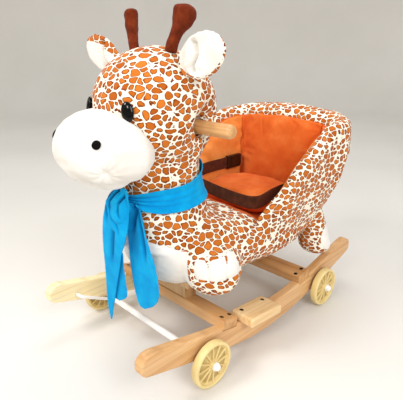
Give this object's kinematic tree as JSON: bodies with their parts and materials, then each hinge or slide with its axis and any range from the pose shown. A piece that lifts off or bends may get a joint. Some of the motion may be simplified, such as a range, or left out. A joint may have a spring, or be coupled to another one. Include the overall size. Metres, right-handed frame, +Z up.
{
  "type": "plush rocking animal with fold-up wheels",
  "caption": "Child's plush giraffe rocker with a padded bucket seat, wooden rockers, handle, lap belt and flip-up wheels.",
  "frame": {"origin": "on the floor, under the middle of the whole toy, wheels down", "axes": "the animal faces -Y, its left side is +X, and +Z is up"},
  "size_m": [0.37, 0.645, 0.6122],
  "materials": {
    "pine": "clear satin varnish over warm pine",
    "pale_pine": "clear satin varnish over pale pine",
    "plywood": "bare board, hidden under the plush",
    "screw": "dark oiled screw head",
    "white_metal": "white powder coat",
    "white_plastic": "smooth white",
    "wheel_plastic": "cream yellow moulding",
    "print_plush": "short plush printed with orange patches on cream",
    "white_plush": "short white plush",
    "horn_plush": "short dark brown plush",
    "orange_plush": "short orange plush",
    "fleece": "bright blue fleece",
    "belt_webbing": "dark brown webbing",
    "buckle_plastic": "smooth dark moulding",
    "black_gloss": "polished black"
  },
  "bodies": {
    "rocker": {"front_cross_bar": "pine", "handle_dowel": "pine", "left_rail": "pine", "rear_cross_bar": "pine", "right_rail": "pine", "left_foot_rest": "pale_pine", "right_foot_rest": "pale_pine", "inner_frame": "plywood", "front_bar_left_fore_screw": "screw", "front_bar_left_aft_screw": "screw", "front_bar_right_fore_screw": "screw", "front_bar_right_aft_screw": "screw", "rear_bar_left_fore_screw": "screw", "rear_bar_left_aft_screw": "screw", "rear_bar_right_fore_screw": "screw", "rear_bar_right_aft_screw": "screw", "left_foot_rest_fore_screw": "screw", "left_foot_rest_aft_screw": "screw", "right_foot_rest_fore_screw": "screw", "right_foot_rest_aft_screw": "screw", "torso": "print_plush", "neck": "print_plush", "head": "print_plush", "seat_wall": "print_plush", "left_front_leg": "print_plush", "right_front_leg": "print_plush", "left_hind_leg": "print_plush", "right_hind_leg": "print_plush", "muzzle": "white_plush", "left_ear": "white_plush", "right_ear": "white_plush", "left_horn": "horn_plush", "right_horn": "horn_plush", "seat_cushion": "orange_plush", "back_pad": "orange_plush", "left_side_pad": "orange_plush", "right_side_pad": "orange_plush", "scarf_band": "fleece", "scarf_knot": "fleece", "scarf_pointed_tail": "fleece", "scarf_rounded_tail": "fleece", "lap_belt_long": "belt_webbing", "lap_belt_short": "belt_webbing", "buckle_socket": "buckle_plastic", "buckle_tongue": "buckle_plastic", "left_eye": "black_gloss", "right_eye": "black_gloss", "left_nostril": "black_gloss", "right_nostril": "black_gloss"},
    "front_axle": {"front_wire_frame": "white_metal", "front_left_hub_cap": "white_plastic", "front_right_hub_cap": "white_plastic"},
    "rear_axle": {"rear_wire_frame": "white_metal", "rear_left_hub_cap": "white_plastic", "rear_right_hub_cap": "white_plastic"},
    "front_left_wheel_body": {"front_left_wheel": "wheel_plastic"},
    "front_right_wheel_body": {"front_right_wheel": "wheel_plastic"},
    "rear_left_wheel_body": {"rear_left_wheel": "wheel_plastic"},
    "rear_right_wheel_body": {"rear_right_wheel": "wheel_plastic"}
  },
  "joints": [
    {"name": "front_axle_fold", "type": "hinge", "parent": "rocker", "child": "front_axle", "pos_m": [0, -0.2535, 0.083], "axis": [-1, 0, 0], "range_deg": [0, 325], "deforming": ["scarf_pointed_tail", "scarf_rounded_tail"]},
    {"name": "rear_axle_fold", "type": "hinge", "parent": "rocker", "child": "rear_axle", "pos_m": [0, 0.2665, 0.083], "axis": [1, 0, 0], "range_deg": [0, 325], "deforming": ["left_hind_leg", "right_hind_leg"]},
    {"name": "front_left_wheel_spin", "type": "hinge", "parent": "front_axle", "child": "front_left_wheel_body", "pos_m": [0.1663, -0.1745, 0.0425], "axis": [1, 0, 0], "continuous": true},
    {"name": "front_right_wheel_spin", "type": "hinge", "parent": "front_axle", "child": "front_right_wheel_body", "pos_m": [-0.1663, -0.1745, 0.0425], "axis": [1, 0, 0], "continuous": true},
    {"name": "rear_left_wheel_spin", "type": "hinge", "parent": "rear_axle", "child": "rear_left_wheel_body", "pos_m": [0.1663, 0.1875, 0.0425], "axis": [1, 0, 0], "continuous": true},
    {"name": "rear_right_wheel_spin", "type": "hinge", "parent": "rear_axle", "child": "rear_right_wheel_body", "pos_m": [-0.1663, 0.1875, 0.0425], "axis": [1, 0, 0], "continuous": true}
  ]
}
